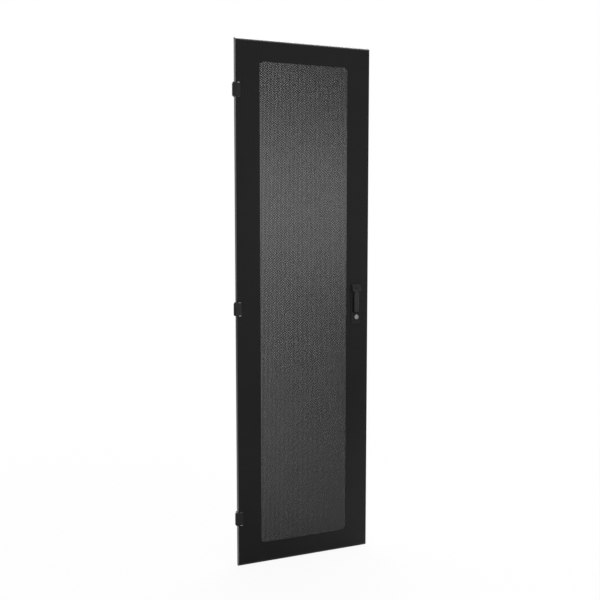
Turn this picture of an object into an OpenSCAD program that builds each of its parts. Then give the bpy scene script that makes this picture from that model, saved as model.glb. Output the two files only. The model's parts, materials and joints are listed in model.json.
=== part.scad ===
// Perforated door for a floor-standing server cabinet, hung on three pin hinges at its left side
// and closed by a swing handle with a key lock at its right side.
// X runs across the door to the right, Y from the front to the back, Z up.
// The origin is the centre of the middle hinge's two screw holes, on the cabinet's mounting plane.

/* [Door panel] */
// Width of the folded panel
door_w = 545; // [480:1:700]
// Height of the folded panel
door_h = 1970; // [1700:1:2200]
// Depth of the folded panel, front face to rear lip
door_d = 22; // [20:0.5:26]
// Thickness of the panel's steel sheet
skin_t = 1.5; // [1.2:0.1:2]
// Outer bend radius of the side folds and rear lips
bend_r = 2.5; // [2.2:0.1:3.5]
// Outer radius of the rolled top and bottom edges
roll_r = 13; // [8:0.5:14]
// Width of the lips that turn in at the back
lip_w = 14; // [12:0.5:18]

/* [Window] */
// Width of the panel left between the hinges' side and the window
stile_w = 91; // [85:1:120]
// Width of the panel left between the window and the handle's side
lock_stile_w = 93; // [90:1:120]
// Height of the panel left above the window
rail_h = 81; // [60:1:120]
// Height of the panel left below the window
foot_rail_h = 81; // [60:1:120]
// Corner radius of the window
window_r = 18; // [8:1:24]

/* [Perforated sheet] */
// Thickness of the perforated sheet
sheet_t = 1.5; // [1:0.1:2]
// How far the sheet runs behind the panel on each side
sheet_lap = 12; // [10:0.5:16]
// Distance between neighbouring holes, in rows that are offset by half of it
hole_pitch = 25.4; // [24:0.2:50]
// Diameter of the holes
hole_d = 12.7; // [8:0.1:18]
// Least distance from a hole to the window's edge
hole_margin = 1.5; // [0.5:0.1:8]

/* [Stiffeners] */
// Thickness of the channels that clamp the sheet
channel_t = 1.2; // [1:0.1:2]
// Depth of the channels
channel_d = 14; // [10:0.5:15]
// How far the channels stay back from the window's edge
channel_setback = 0.5; // [0.3:0.1:2]
// Width of the channels' narrow rear flange
channel_lip = 4; // [3:0.5:5]

/* [Hinges] */
// Height of a hinge
hinge_h = 49; // [42:1:56]
// Distance from the panel's ends to the centres of the outer hinges
hinge_end = 185; // [120:0.5:300]
// Outer radius of the hinge knuckles
knuckle_r = 6.5; // [6:0.1:7]
// Height of the middle knuckle
knuckle_h = 20; // [16:0.5:24]
// How far the knuckles stay back from the panel's front face
knuckle_setback = 0.5; // [0.3:0.1:1]
// Radius of the hinge pin
hinge_pin_r = 3; // [2.5:0.1:3.5]
// Distance of the pin's axis outside the panel's left side
pin_out = 5; // [4.5:0.1:6]
// Width of the door leaf's block inside the notch
block_w = 17; // [12:0.5:18]
// Gap beside the block in the notch
notch_gap = 3.5; // [1:0.1:4.5]
// Gap above and below the block in the notch, both together
notch_play = 2; // [1:0.1:3]
// Length of the door leaf's plate behind the panel
tail_l = 28; // [26:0.5:32]
// Thickness of the door leaf's plate
tail_t = 3; // [2:0.1:4]
// Thickness of the frame leaf's plate
leaf_t = 4; // [3:0.1:5]
// Width of the frame leaf's plate behind the door
leaf_w = 26; // [22:0.5:34]
// Distance between the frame leaf's two screw holes
frame_hole_gap = 30; // [26:0.5:34]
// Radius of the frame leaf's screw holes
frame_hole_r = 2.75; // [2.2:0.05:3.2]
// Space between the door's back and the frame leaf's plate
leaf_gap = 2; // [1:0.1:4]

/* [Handle] */
// Distance from the panel's right side to the handle's centre line
handle_inset = 54.5; // [50:0.5:57]
// Height of the handle's base
base_h = 155; // [150:1:170]
// Width of the handle's base
base_w = 40; // [38:0.5:44]
// Thickness of the base's flange
flange_t = 3; // [2.5:0.1:4]
// Thickness of the gasket under the flange
gasket_t = 1; // [0.5:0.1:2]
// How far the base's housing reaches behind the panel's front face
housing_d = 16; // [14:0.5:18]
// Width of the lever
lever_w = 21; // [18:0.5:24]
// Length of the lever from its pin to its toe, on a base of the usual height
lever_l = 89; // [80:1:90]
// Thickness of the lever
lever_t = 6.5; // [5:0.1:7]
// Width of the hub's head
head_w = 36; // [32:0.5:38]
// Height of the hub's head
head_h = 26; // [24:0.5:28]
// Radius of the hub's shaft
rotor_r = 9; // [8:0.1:9.5]
// Side of the square spindle
spindle_s = 8; // [7:0.1:10]
// Radius of the lever's pin
lever_pin_r = 2; // [1.5:0.1:2.2]

/* [Latch and lock] */
// Length of the latch cam from the spindle's axis to its tip
cam_l = 62; // [58:0.5:70]
// Thickness of the latch cam
cam_t = 3; // [2:0.1:4]
// Width of the latch cam at the spindle
cam_w = 20; // [16:0.5:24]
// Radius of the lock barrel in the housing
barrel_r = 8; // [7.2:0.1:8.5]
// Radius of the key plug
plug_r = 5.5; // [4.5:0.1:6]
// How far the lock stands proud of the flange
lock_proud = 6; // [4:0.5:8]

/* [Small parts] */
// Radius of the rubber bumpers
bumper_r = 5; // [4:0.1:5.5]
// Radius of the weld studs
stud_r = 2.5; // [2:0.1:3]
// Radius of the earth stud
earth_stud_r = 3; // [2.5:0.1:4]

/* [Clearances] */
// Radial running clearance of pins, plug and hub
run_gap = 0.05; // [0.02:0.01:0.1]
// Clearance between parts that slide over or pass by each other
side_gap = 0.3; // [0.2:0.05:0.5]

/* [Hidden] */

// Fineness of round shapes
round_fn = 48;
soft_fn = 32;
// Overshoot of cutting shapes
cut = 1;

// Window and sheet
window_w = door_w - stile_w - lock_stile_w;
window_h = door_h - rail_h - foot_rail_h;
window_x = stile_w + window_w / 2;
window_z = foot_rail_h + window_h / 2;
sheet_y = skin_t;
sheet_back = sheet_y + sheet_t;
row_step = hole_pitch * sqrt(3) / 2;
field_x = window_w / 2 - hole_margin - hole_d / 2;
field_z = window_h / 2 - hole_margin - hole_d / 2;
hole_rows = floor(field_z / row_step);
hole_columns = floor(field_x / hole_pitch) + 1;
channel_w = sheet_lap - channel_setback;

// Hinges
hinge_z = [door_h - hinge_end, door_h / 2, hinge_end];
pin_x = -pin_out;
pin_y = knuckle_r + knuckle_setback;
block_d = 2 * knuckle_r;
notch_w = block_w + notch_gap;
notch_h = hinge_h + notch_play;
notch_d = pin_y + knuckle_r + notch_play;
hinge_chamfer = 4;
tail_lap = 2;
tail_h = notch_h + 2 * tail_lap;
arm_r_side = 3;
arm_t = 4;
arm_inset = 0.4;
leaf_left = pin_x + 3;
frame_plane_y = door_d + leaf_gap + leaf_t;
frame_hole_edge = 12;
frame_hole_x = leaf_w - frame_hole_edge;
frame_sink_r = 2 * frame_hole_r;
frame_sink_d = frame_sink_r - frame_hole_r;
pin_head_r = hinge_pin_r + 1.5;
pin_head_h = 1.5;
tail_end_x = block_w + tail_l;
stud_x = notch_w + (tail_l - notch_gap) / 2;
stud_dz = 13;
stud_l = 9;
nut_t = 4;
nut_r = 2 * stud_r;

// Handle
handle_x = door_w - handle_inset;
handle_z = door_h / 2;
flange_y = -gasket_t - flange_t;
flange_bevel = 1.5;
flange_side = 3;
flange_end = 5;
housing_w = base_w - 2 * flange_side;
housing_h = base_h - 2 * flange_end;
housing_wall = 2;
fit_gap = 0.5;
head_y = flange_y - side_gap;
head_t = 10;
head_margin = 1.5;
head_nose = 8;
head_slope = 7;
hub_z = handle_z + base_h / 2 - head_margin - head_h / 2;
lever_pin_inset = 5;
lever_pin_z = hub_z - lever_pin_inset;
lever_pin_y = head_y - lever_pin_inset;
lever_pin_wall = 3;
tongue_w = 13;
tongue_r = 3.3;
grip_gap = 1.5;
grip_lap = 3;
grip_top_z = hub_z - head_h / 2 - grip_gap;
usual_base_h = 155;
lever_reach = lever_l * base_h / usual_base_h;
toe_z = lever_pin_z - lever_reach;
lever_back_y = lever_pin_y + tongue_r;
lever_front_y = lever_back_y - lever_t;
slot_floor_y = lever_pin_y + tongue_r + side_gap;
rotor_stick = 4;
rotor_end_y = housing_d + rotor_stick;
clip_y = housing_d + 0.2;
clip_t = 1;
clip_r = rotor_r + 2;
groove_r = rotor_r - 1.2;
cam_gap = 6;
cam_y = door_d + cam_gap;
spindle_end_y = cam_y + cam_t;
cam_tip_r = cam_w * 0.35;
cam_screw_r = 2.5;
cam_screw_l = 10;
screw_head_r = 7.5;
screw_head_t = 2.5;
bracket_t = 1.5;
bracket_w = base_w + 2;
bracket_y = housing_d;
screw_r = 2;
screw_l = 12;
screw_rise = base_h * 0.24;
screw_drop = base_h * 0.43;
upper_screw_z = handle_z + screw_rise;
lower_screw_z = handle_z - screw_drop;
dish_rise = base_h * 0.18;
dish_drop = base_h * 0.22;
dish_floor_t = 4;
dish_top_z = handle_z + dish_rise;
dish_bottom_z = handle_z - dish_drop;
dish_floor_y = housing_d - dish_floor_t;

// Lock
lock_drop = base_h * 0.32;
lock_z = handle_z - lock_drop;
collar_r = barrel_r + 0.7;
lock_front_y = flange_y - lock_proud;
lock_nut_t = 3;
lock_nut_r = barrel_r * 1.6;
barrel_end_y = bracket_y + bracket_t + lock_nut_t + 0.5;
plug_front_y = lock_front_y - 0.5;
plug_cam_y = barrel_end_y + side_gap;
plug_cam_t = 2;
plug_cam_l = 14;
plug_square = plug_r * 1.2;
keyway_w = 1.4;
keyway_h = 7;
keyway_d = 8;

// Small parts
bumper_x = door_w - lip_w / 2;
bumper_t = frame_plane_y - door_d - side_gap;
bumper_end = 150;
bumper_mid = 700;
bumper_z = [bumper_end, bumper_mid, door_h - bumper_mid, door_h - bumper_end];
earth_x = 40;
earth_z = 110;
earth_l = 15;

// ---------- shared shapes ----------

// Moves the door's own frame, with its zero at the panel's lower left front corner, to the origin.
module on_frame() {
    translate([-frame_hole_x, -frame_plane_y, -door_h / 2]) children();
}

// Extrudes a shape drawn in X and Z from y to y + depth.
module front_extrude(y, depth) {
    translate([0, y + depth, 0]) rotate([90, 0, 0]) linear_extrude(depth) children();
}

// Extrudes a shape drawn in Y and Z from x to x + width.
module side_extrude(x, width) {
    translate([x, 0, 0]) rotate([90, 0, 90]) linear_extrude(width) children();
}

// A round bar along Y from y to y + length.
module bar_y(r, y, length) {
    translate([0, y, 0]) rotate([-90, 0, 0]) cylinder(r = r, h = length, $fn = round_fn);
}

// A hexagonal nut blank along Y from y to y + length, across corners 2 * r.
module hex_y(r, y, length) {
    translate([0, y, 0]) rotate([-90, 0, 0]) cylinder(r = r, h = length, $fn = 6);
}

// A rectangle about its centre with round corners.
module rounded_rect(w, h, r) {
    square([w, h - 2 * r], center = true);
    square([w - 2 * r, h], center = true);
    for (sx = [-1, 1], sy = [-1, 1])
        translate([sx * (w / 2 - r), sy * (h / 2 - r)]) circle(r = r, $fn = soft_fn);
}

// ---------- panel and sheet ----------

// The panel's section across its height, rolled at the front and folded at the back.
module height_section(inset) {
    translate([roll_r, inset]) square([door_d - bend_r - roll_r, door_h - 2 * inset]);
    translate([inset, roll_r]) square([roll_r - inset, door_h - 2 * roll_r]);
    translate([door_d - bend_r, bend_r]) square([bend_r - inset, door_h - 2 * bend_r]);
    for (z = [roll_r, door_h - roll_r])
        translate([roll_r, z]) circle(r = roll_r - inset, $fn = round_fn);
    for (z = [bend_r, door_h - bend_r])
        translate([door_d - bend_r, z]) circle(r = bend_r - inset, $fn = round_fn);
}

// The panel's section across its width, folded at all four corners.
module width_section(inset) {
    translate([door_w / 2, door_d / 2])
        rounded_rect(door_w - 2 * inset, door_d - 2 * inset, bend_r - inset);
}

// The volume inside the panel's sheet, or the whole panel at inset 0.
module tray_volume(inset) {
    intersection() {
        side_extrude(0, door_w) height_section(inset);
        linear_extrude(door_h) width_section(inset);
    }
}

module window_outline() {
    translate([window_x, window_z]) rounded_rect(window_w, window_h, window_r);
}

module handle_cutout() {
    translate([handle_x, handle_z])
        rounded_rect(housing_w + 2 * fit_gap, housing_h + 2 * fit_gap, 4);
}

module door_panel() {
    color("#232527") on_frame() difference() {
        tray_volume(0);
        tray_volume(skin_t);
        translate([lip_w, door_d - 2 * skin_t, lip_w])
            cube([door_w - 2 * lip_w, 2 * skin_t + cut, door_h - 2 * lip_w]);
        front_extrude(-cut, skin_t + 2 * cut) window_outline();
        front_extrude(-cut, skin_t + 2 * cut) handle_cutout();
        for (z = hinge_z)
            translate([-cut, -cut, z - notch_h / 2]) cube([notch_w + cut, notch_d + cut, notch_h]);
    }
}

// Rows offset by half a pitch, as far as they lie whole inside the window.
module hole_field() {
    for (row = [-hole_rows:hole_rows], column = [-hole_columns:hole_columns])
        let (x = (column + (row % 2 == 0 ? 0 : 0.5)) * hole_pitch)
            if (abs(x) <= field_x)
                translate([x, row * row_step]) circle(d = hole_d, $fn = 24);
}

module perforated_sheet() {
    color("#3a3c3e") on_frame() front_extrude(sheet_y, sheet_t)
        translate([window_x, window_z]) difference() {
            square([window_w + 2 * sheet_lap, window_h + 2 * sheet_lap], center = true);
            hole_field();
        }
}

// A channel's section, with its foot on the sheet at zero and its mouth towards +X.
module channel_section() {
    square([channel_w, channel_t]);
    square([channel_t, channel_d]);
    translate([0, channel_d - channel_t]) square([channel_lip, channel_t]);
}

module upright_channel() {
    translate([-window_w / 2 - sheet_lap, sheet_back, -window_h / 2 - sheet_lap])
        linear_extrude(window_h + 2 * sheet_lap) channel_section();
}

module cross_channel() {
    length = window_w + 2 * channel_setback - 2 * side_gap;
    translate([-length / 2, sheet_back, -window_h / 2 - sheet_lap])
        rotate([90, 0, 90]) linear_extrude(length) mirror([1, -1]) channel_section();
}

module at_window_centre() {
    on_frame() translate([window_x, 0, window_z]) children();
}

module stiffener_left() {
    color("#2b2d2f") at_window_centre() upright_channel();
}

module stiffener_right() {
    color("#2b2d2f") at_window_centre() mirror([1, 0, 0]) upright_channel();
}

module stiffener_bottom() {
    color("#2b2d2f") at_window_centre() cross_channel();
}

module stiffener_top() {
    color("#2b2d2f") at_window_centre() mirror([0, 0, 1]) cross_channel();
}

// ---------- hinges ----------

// The hinge's outline from the front, with its two outer corners cut off.
module hinge_outline() {
    left = pin_x - knuckle_r;
    polygon([
        [left + hinge_chamfer, -hinge_h / 2], [tail_end_x, -hinge_h / 2],
        [tail_end_x, hinge_h / 2], [left + hinge_chamfer, hinge_h / 2],
        [left, hinge_h / 2 - hinge_chamfer], [left, -hinge_h / 2 + hinge_chamfer]
    ]);
}

module knuckle(h, r = knuckle_r) {
    translate([pin_x, pin_y, -h / 2]) cylinder(r = r, h = h, $fn = round_fn);
}

module pin_bore() {
    knuckle(hinge_h + 2 * cut, hinge_pin_r + run_gap);
}

module hinge_door_leaf() {
    gap_h = knuckle_h + 2 * side_gap;
    arm_clear_x = pin_x + arm_r_side + fit_gap;
    difference() {
        union() {
            intersection() {
                union() {
                    knuckle(hinge_h);
                    translate([pin_x, pin_y - knuckle_r, -hinge_h / 2])
                        cube([block_w - pin_x, block_d, hinge_h]);
                }
                front_extrude(-cut, door_d) hinge_outline();
            }
            translate([block_w - cut, skin_t, -tail_h / 2]) cube([tail_l + cut, tail_t, tail_h]);
        }
        knuckle(gap_h, knuckle_r + fit_gap);
        translate([pin_x - knuckle_r - cut, -cut, -gap_h / 2])
            cube([arm_clear_x - pin_x + knuckle_r + cut, door_d, gap_h]);
        pin_bore();
        for (z = [-stud_dz, stud_dz])
            translate([stud_x, 0, z]) bar_y(stud_r + side_gap, 0, door_d);
    }
}

// The arm's outline from above: it leaves the knuckle, passes the panel's side and meets the plate.
module arm_outline() {
    bend_y = door_d + leaf_gap;
    polygon([
        [pin_x - knuckle_r + arm_inset, pin_y], [pin_x - arm_t / 2, pin_y + knuckle_r],
        [leaf_left, bend_y + leaf_t / 2], [leaf_left + arm_t + leaf_t, bend_y + leaf_t / 2],
        [leaf_left + arm_t, bend_y], [-side_gap, door_d], [-side_gap, door_d - bend_r],
        [pin_x + arm_r_side, pin_y + knuckle_r + notch_play / 2], [pin_x + arm_r_side, pin_y]
    ]);
}

module hinge_frame_leaf() {
    plate_y = frame_plane_y - leaf_t;
    difference() {
        union() {
            knuckle(knuckle_h);
            translate([0, 0, -knuckle_h / 2]) linear_extrude(knuckle_h) arm_outline();
            front_extrude(plate_y, leaf_t)
                translate([(leaf_left + leaf_w) / 2, 0]) rounded_rect(leaf_w - leaf_left, hinge_h, 3);
        }
        pin_bore();
        for (z = [-frame_hole_gap / 2, frame_hole_gap / 2])
            translate([frame_hole_x, 0, z]) {
                bar_y(frame_hole_r, plate_y - cut, leaf_t + 2 * cut);
                translate([0, plate_y, 0]) rotate([-90, 0, 0])
                    cylinder(r1 = frame_sink_r, r2 = frame_hole_r, h = frame_sink_d, $fn = round_fn);
            }
    }
}

module hinge_pin() {
    translate([pin_x, pin_y, -hinge_h / 2]) {
        cylinder(r = hinge_pin_r, h = hinge_h + pin_head_h, $fn = round_fn);
        translate([0, 0, hinge_h + side_gap / 3])
            cylinder(r = pin_head_r, h = pin_head_h, $fn = round_fn);
    }
}

module at_hinge(i) {
    on_frame() translate([0, 0, hinge_z[i]]) children();
}

module hinge_door_leaf_top() {
    color("#35383b") at_hinge(0) hinge_door_leaf();
}

module hinge_door_leaf_middle() {
    color("#35383b") at_hinge(1) hinge_door_leaf();
}

module hinge_door_leaf_bottom() {
    color("#35383b") at_hinge(2) hinge_door_leaf();
}

module hinge_frame_leaf_top() {
    color("#3c3f42") at_hinge(0) hinge_frame_leaf();
}

module hinge_frame_leaf_middle() {
    color("#3c3f42") at_hinge(1) hinge_frame_leaf();
}

module hinge_frame_leaf_bottom() {
    color("#3c3f42") at_hinge(2) hinge_frame_leaf();
}

module hinge_pin_top() {
    color("#3c3f42") at_hinge(0) hinge_pin();
}

module hinge_pin_middle() {
    color("#3c3f42") at_hinge(1) hinge_pin();
}

module hinge_pin_bottom() {
    color("#3c3f42") at_hinge(2) hinge_pin();
}

module at_hinge_studs() {
    for (i = [0:2], z = [-stud_dz, stud_dz])
        at_hinge(i) translate([stud_x, 0, z]) children();
}

module hinge_studs() {
    color("#9a9c9e") at_hinge_studs() bar_y(stud_r, skin_t, stud_l);
}

module hinge_nuts() {
    color("#a4a6a8") at_hinge_studs() difference() {
        hex_y(nut_r, skin_t + tail_t, nut_t);
        bar_y(stud_r + run_gap, skin_t + tail_t - cut, nut_t + 2 * cut);
    }
}

// ---------- bumpers and earth stud ----------

module door_bumpers() {
    color("#151515") on_frame() for (z = bumper_z)
        translate([bumper_x, 0, z]) {
            bar_y(bumper_r, door_d, bumper_t * 0.6);
            translate([0, door_d + bumper_t * 0.6, 0]) rotate([-90, 0, 0])
                cylinder(r1 = bumper_r, r2 = bumper_r * 0.7, h = bumper_t * 0.4, $fn = round_fn);
        }
}

module earth_stud() {
    color("#b87333") on_frame() translate([earth_x, 0, earth_z])
        bar_y(earth_stud_r, skin_t, earth_l);
}

module earth_nut() {
    washer_t = 1.2;
    washer_y = skin_t + 0.2;
    color("#c0a060") on_frame() translate([earth_x, 0, earth_z]) difference() {
        union() {
            bar_y(earth_stud_r * 2.2, washer_y, washer_t);
            hex_y(earth_stud_r * 1.9, washer_y + washer_t, nut_t);
        }
        bar_y(earth_stud_r + run_gap, washer_y - cut, washer_t + nut_t + 2 * cut);
    }
}

// ---------- handle ----------

module at_handle(z = handle_z) {
    on_frame() translate([handle_x, 0, z]) children();
}

module handle_gasket() {
    color("#101010") at_handle() front_extrude(-gasket_t, gasket_t) difference() {
        rounded_rect(base_w - 1, base_h - 1, 5);
        rounded_rect(housing_w + fit_gap, housing_h + fit_gap, 4);
    }
}

// The flange's section along the given length, from the gasket to its bevelled front.
module flange_section(length) {
    shoulder = flange_y + flange_bevel;
    polygon([
        [-gasket_t, -length / 2], [shoulder, -length / 2], [flange_y, flange_bevel - length / 2],
        [flange_y, length / 2 - flange_bevel], [shoulder, length / 2], [-gasket_t, length / 2]
    ]);
}

module base_flange() {
    intersection() {
        front_extrude(flange_y, flange_t) rounded_rect(base_w, base_h, 6);
        side_extrude(-base_w / 2, base_w) flange_section(base_h);
        translate([0, 0, -base_h / 2]) linear_extrude(base_h) mirror([1, -1]) flange_section(base_w);
    }
}

module handle_base() {
    dish_w = housing_w - 2 * housing_wall;
    dish_h = dish_top_z - dish_bottom_z;
    dish_mid = (dish_top_z + dish_bottom_z) / 2 - handle_z;
    housing_top_y = -gasket_t - fit_gap;
    color("#1d1e20") at_handle() difference() {
        union() {
            base_flange();
            front_extrude(housing_top_y, housing_d - housing_top_y)
                rounded_rect(housing_w, housing_h, 3.5);
        }
        front_extrude(flange_y - cut, dish_floor_y - flange_y + cut)
            translate([0, dish_mid]) rounded_rect(dish_w, dish_h, 5);
        translate([0, 0, hub_z - handle_z])
            bar_y(rotor_r + run_gap, flange_y - cut, housing_d - flange_y + 2 * cut);
        translate([0, 0, lock_z - handle_z])
            bar_y(barrel_r + run_gap, flange_y - cut, housing_d - flange_y + 2 * cut);
        for (z = [upper_screw_z, lower_screw_z])
            translate([0, 0, z - handle_z]) bar_y(screw_r + run_gap, housing_d - screw_l, screw_l + cut);
    }
}

// The steel bracket that clamps the base against the panel from behind.
module handle_bracket() {
    bracket_h = housing_h - 4;
    leg_y = skin_t;
    color("#77797b") at_handle() difference() {
        front_extrude(leg_y, bracket_y + bracket_t - leg_y) rounded_rect(bracket_w, bracket_h, 1);
        translate([-bracket_w / 2 + bracket_t, leg_y - cut, -bracket_h / 2 - cut])
            cube([bracket_w - 2 * bracket_t, bracket_y - leg_y + cut, bracket_h + 2 * cut]);
        translate([0, 0, hub_z - handle_z]) bar_y(clip_r + 1, bracket_y - cut, bracket_t + 2 * cut);
        translate([0, 0, lock_z - handle_z])
            bar_y(barrel_r + side_gap, bracket_y - cut, bracket_t + 2 * cut);
        for (z = [upper_screw_z, lower_screw_z])
            translate([0, 0, z - handle_z]) bar_y(screw_r + side_gap, bracket_y - cut, bracket_t + 2 * cut);
    }
}

module handle_screws() {
    color("#a4a6a8") for (z = [upper_screw_z, lower_screw_z])
        at_handle(z) difference() {
            union() {
                bar_y(screw_r, bracket_y - screw_l + cut, screw_l - cut + bracket_t);
                bar_y(screw_r * 1.9, bracket_y + bracket_t, screw_r);
            }
            hex_y(screw_r * 0.9, bracket_y + bracket_t + screw_r * 0.4, screw_r);
        }
}

// The hub's head seen from the side, with the slope that faces up.
module head_section() {
    front = head_y - head_t;
    polygon([
        [head_y, -head_h / 2], [front, -head_h / 2], [front, head_nose - head_h / 2],
        [front + head_slope, head_h / 2], [head_y, head_h / 2]
    ]);
}

module handle_hub() {
    pin_dz = lever_pin_z - hub_z;
    slot_w = tongue_w + 2 * side_gap;
    slot_d = slot_floor_y - head_y + head_t + cut;
    slot_h = pin_dz + head_h / 2 + tongue_r + side_gap + cut;
    color("#202224") at_handle(hub_z) difference() {
        union() {
            intersection() {
                front_extrude(head_y - head_t, head_t) rounded_rect(head_w, head_h, 3);
                side_extrude(-head_w / 2, head_w) head_section();
            }
            bar_y(rotor_r, head_y, rotor_end_y - head_y);
            translate([-spindle_s / 2, rotor_end_y, -spindle_s / 2])
                cube([spindle_s, spindle_end_y - rotor_end_y, spindle_s]);
        }
        translate([-slot_w / 2, head_y - head_t - cut, -head_h / 2 - cut])
            cube([slot_w, slot_d, slot_h]);
        translate([lever_pin_wall - head_w / 2, lever_pin_y, pin_dz]) rotate([0, 90, 0])
            cylinder(r = lever_pin_r + run_gap, h = head_w, $fn = round_fn);
        difference() {
            bar_y(rotor_r + cut, clip_y, clip_t);
            bar_y(groove_r, clip_y - cut, clip_t + 2 * cut);
        }
        bar_y(cam_screw_r + run_gap, spindle_end_y - cam_screw_l, cam_screw_l + cut);
    }
}

// The spring clip in the hub's groove, open at one side.
module hub_clip() {
    color("#8a8d90") at_handle(hub_z) difference() {
        bar_y(clip_r, clip_y + 0.1, clip_t - 0.2);
        bar_y(groove_r + run_gap, clip_y - cut, clip_t + 2 * cut);
        translate([-4, clip_y - cut, -clip_r - cut]) cube([8, clip_t + 2 * cut, clip_r]);
    }
}

module lever_pin() {
    left = lever_pin_wall + side_gap - head_w / 2;
    length = head_w - lever_pin_wall - 2 * side_gap;
    color("#8a8d90") at_handle(lever_pin_z) translate([left, lever_pin_y, 0])
        rotate([0, 90, 0]) cylinder(r = lever_pin_r, h = length, $fn = round_fn);
}

// The lever's grip, crowned towards the front.
module lever_grip() {
    slab_t = 0.5;
    length = grip_top_z - toe_z;
    translate([0, 0, toe_z + length / 2 - lever_pin_z]) hull() {
        front_extrude(lever_back_y - slab_t, slab_t) rounded_rect(lever_w - 3, length - 2, 5);
        front_extrude(lever_back_y - 2, slab_t) rounded_rect(lever_w, length, 6);
        front_extrude(lever_front_y + 2, slab_t) rounded_rect(lever_w, length, 6);
        front_extrude(lever_front_y, slab_t) rounded_rect(lever_w - 6, length - 7, 4);
    }
}

module handle_lever() {
    color("#2a2c2e") at_handle(lever_pin_z) difference() {
        union() {
            lever_grip();
            translate([-tongue_w / 2, lever_pin_y, 0]) rotate([0, 90, 0])
                cylinder(r = tongue_r, h = tongue_w, $fn = round_fn);
            translate([-tongue_w / 2, lever_pin_y - tongue_r, grip_top_z - lever_pin_z - grip_lap])
                cube([tongue_w, 2 * tongue_r, lever_pin_z - grip_top_z + grip_lap]);
        }
        translate([-tongue_w, lever_pin_y, 0]) rotate([0, 90, 0])
            cylinder(r = lever_pin_r + run_gap, h = 2 * tongue_w, $fn = round_fn);
    }
}

// ---------- latch and lock ----------

module cam_outline() {
    reach = cam_l - cam_tip_r;
    difference() {
        union() {
            circle(d = cam_w, $fn = round_fn);
            polygon([[0, -cam_w / 2], [reach, -cam_tip_r], [reach, cam_tip_r], [0, cam_w / 2]]);
            translate([reach, 0]) circle(r = cam_tip_r, $fn = round_fn);
        }
        square(spindle_s + 2 * run_gap, center = true);
    }
}

module latch_cam() {
    color("#9a9c9e") at_handle(hub_z) front_extrude(cam_y, cam_t) cam_outline();
}

module cam_screw() {
    color("#a4a6a8") at_handle(hub_z) difference() {
        union() {
            bar_y(cam_screw_r, spindle_end_y - cam_screw_l + 2, cam_screw_l - 2);
            bar_y(screw_head_r, spindle_end_y, screw_head_t);
        }
        hex_y(cam_screw_r, spindle_end_y + screw_head_t * 0.4, screw_head_t);
    }
}

module lock_barrel() {
    color("#c8cacc") at_handle(lock_z) difference() {
        union() {
            bar_y(collar_r, lock_front_y, lock_proud);
            bar_y(barrel_r, flange_y, barrel_end_y - flange_y);
        }
        bar_y(plug_r + run_gap, lock_front_y - cut, barrel_end_y - lock_front_y + 2 * cut);
    }
}

module lock_nut() {
    nut_y = bracket_y + bracket_t;
    color("#a4a6a8") at_handle(lock_z) difference() {
        hex_y(lock_nut_r, nut_y, lock_nut_t);
        bar_y(barrel_r + run_gap, nut_y - cut, lock_nut_t + 2 * cut);
    }
}

module key_plug() {
    plug_end_y = plug_cam_y + plug_cam_t;
    color("#d4d6d8") at_handle(lock_z) difference() {
        union() {
            bar_y(plug_r, plug_front_y, plug_cam_y - plug_front_y);
            translate([-plug_square / 2, plug_cam_y, -plug_square / 2])
                cube([plug_square, plug_cam_t, plug_square]);
        }
        translate([-keyway_w / 2, plug_front_y - cut, -keyway_h / 2])
            cube([keyway_w, keyway_d + cut, keyway_h]);
        bar_y(screw_r * 0.8, plug_end_y - 6, 6 + cut);
    }
}

module plug_cam() {
    color("#9a9c9e") at_handle(lock_z) front_extrude(plug_cam_y, plug_cam_t) difference() {
        union() {
            circle(r = plug_square, $fn = round_fn);
            translate([-plug_square * 0.7, 0]) square([plug_square * 1.4, plug_cam_l]);
        }
        square(plug_square + 2 * run_gap, center = true);
    }
}

module plug_screw() {
    plug_end_y = plug_cam_y + plug_cam_t;
    color("#a4a6a8") at_handle(lock_z) difference() {
        union() {
            bar_y(screw_r * 0.8 - run_gap, plug_end_y - 5, 5);
            bar_y(screw_r * 2.2, plug_end_y, screw_r * 0.9);
        }
        hex_y(screw_r * 0.9, plug_end_y + screw_r * 0.5, screw_r);
    }
}

door_panel();
perforated_sheet();
stiffener_left();
stiffener_right();
stiffener_top();
stiffener_bottom();
hinge_door_leaf_top();
hinge_door_leaf_middle();
hinge_door_leaf_bottom();
hinge_frame_leaf_top();
hinge_frame_leaf_middle();
hinge_frame_leaf_bottom();
hinge_pin_top();
hinge_pin_middle();
hinge_pin_bottom();
hinge_studs();
hinge_nuts();
door_bumpers();
earth_stud();
earth_nut();
handle_gasket();
handle_base();
handle_bracket();
handle_screws();
handle_hub();
hub_clip();
lever_pin();
handle_lever();
latch_cam();
cam_screw();
lock_barrel();
lock_nut();
key_plug();
plug_cam();
plug_screw();
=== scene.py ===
"""Finishes and fine parts of a perforated door for a floor-standing server cabinet."""
import json
import logging
import math
from dataclasses import dataclass, field
from enum import Enum
from typing import Any, Callable, Iterable

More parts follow.
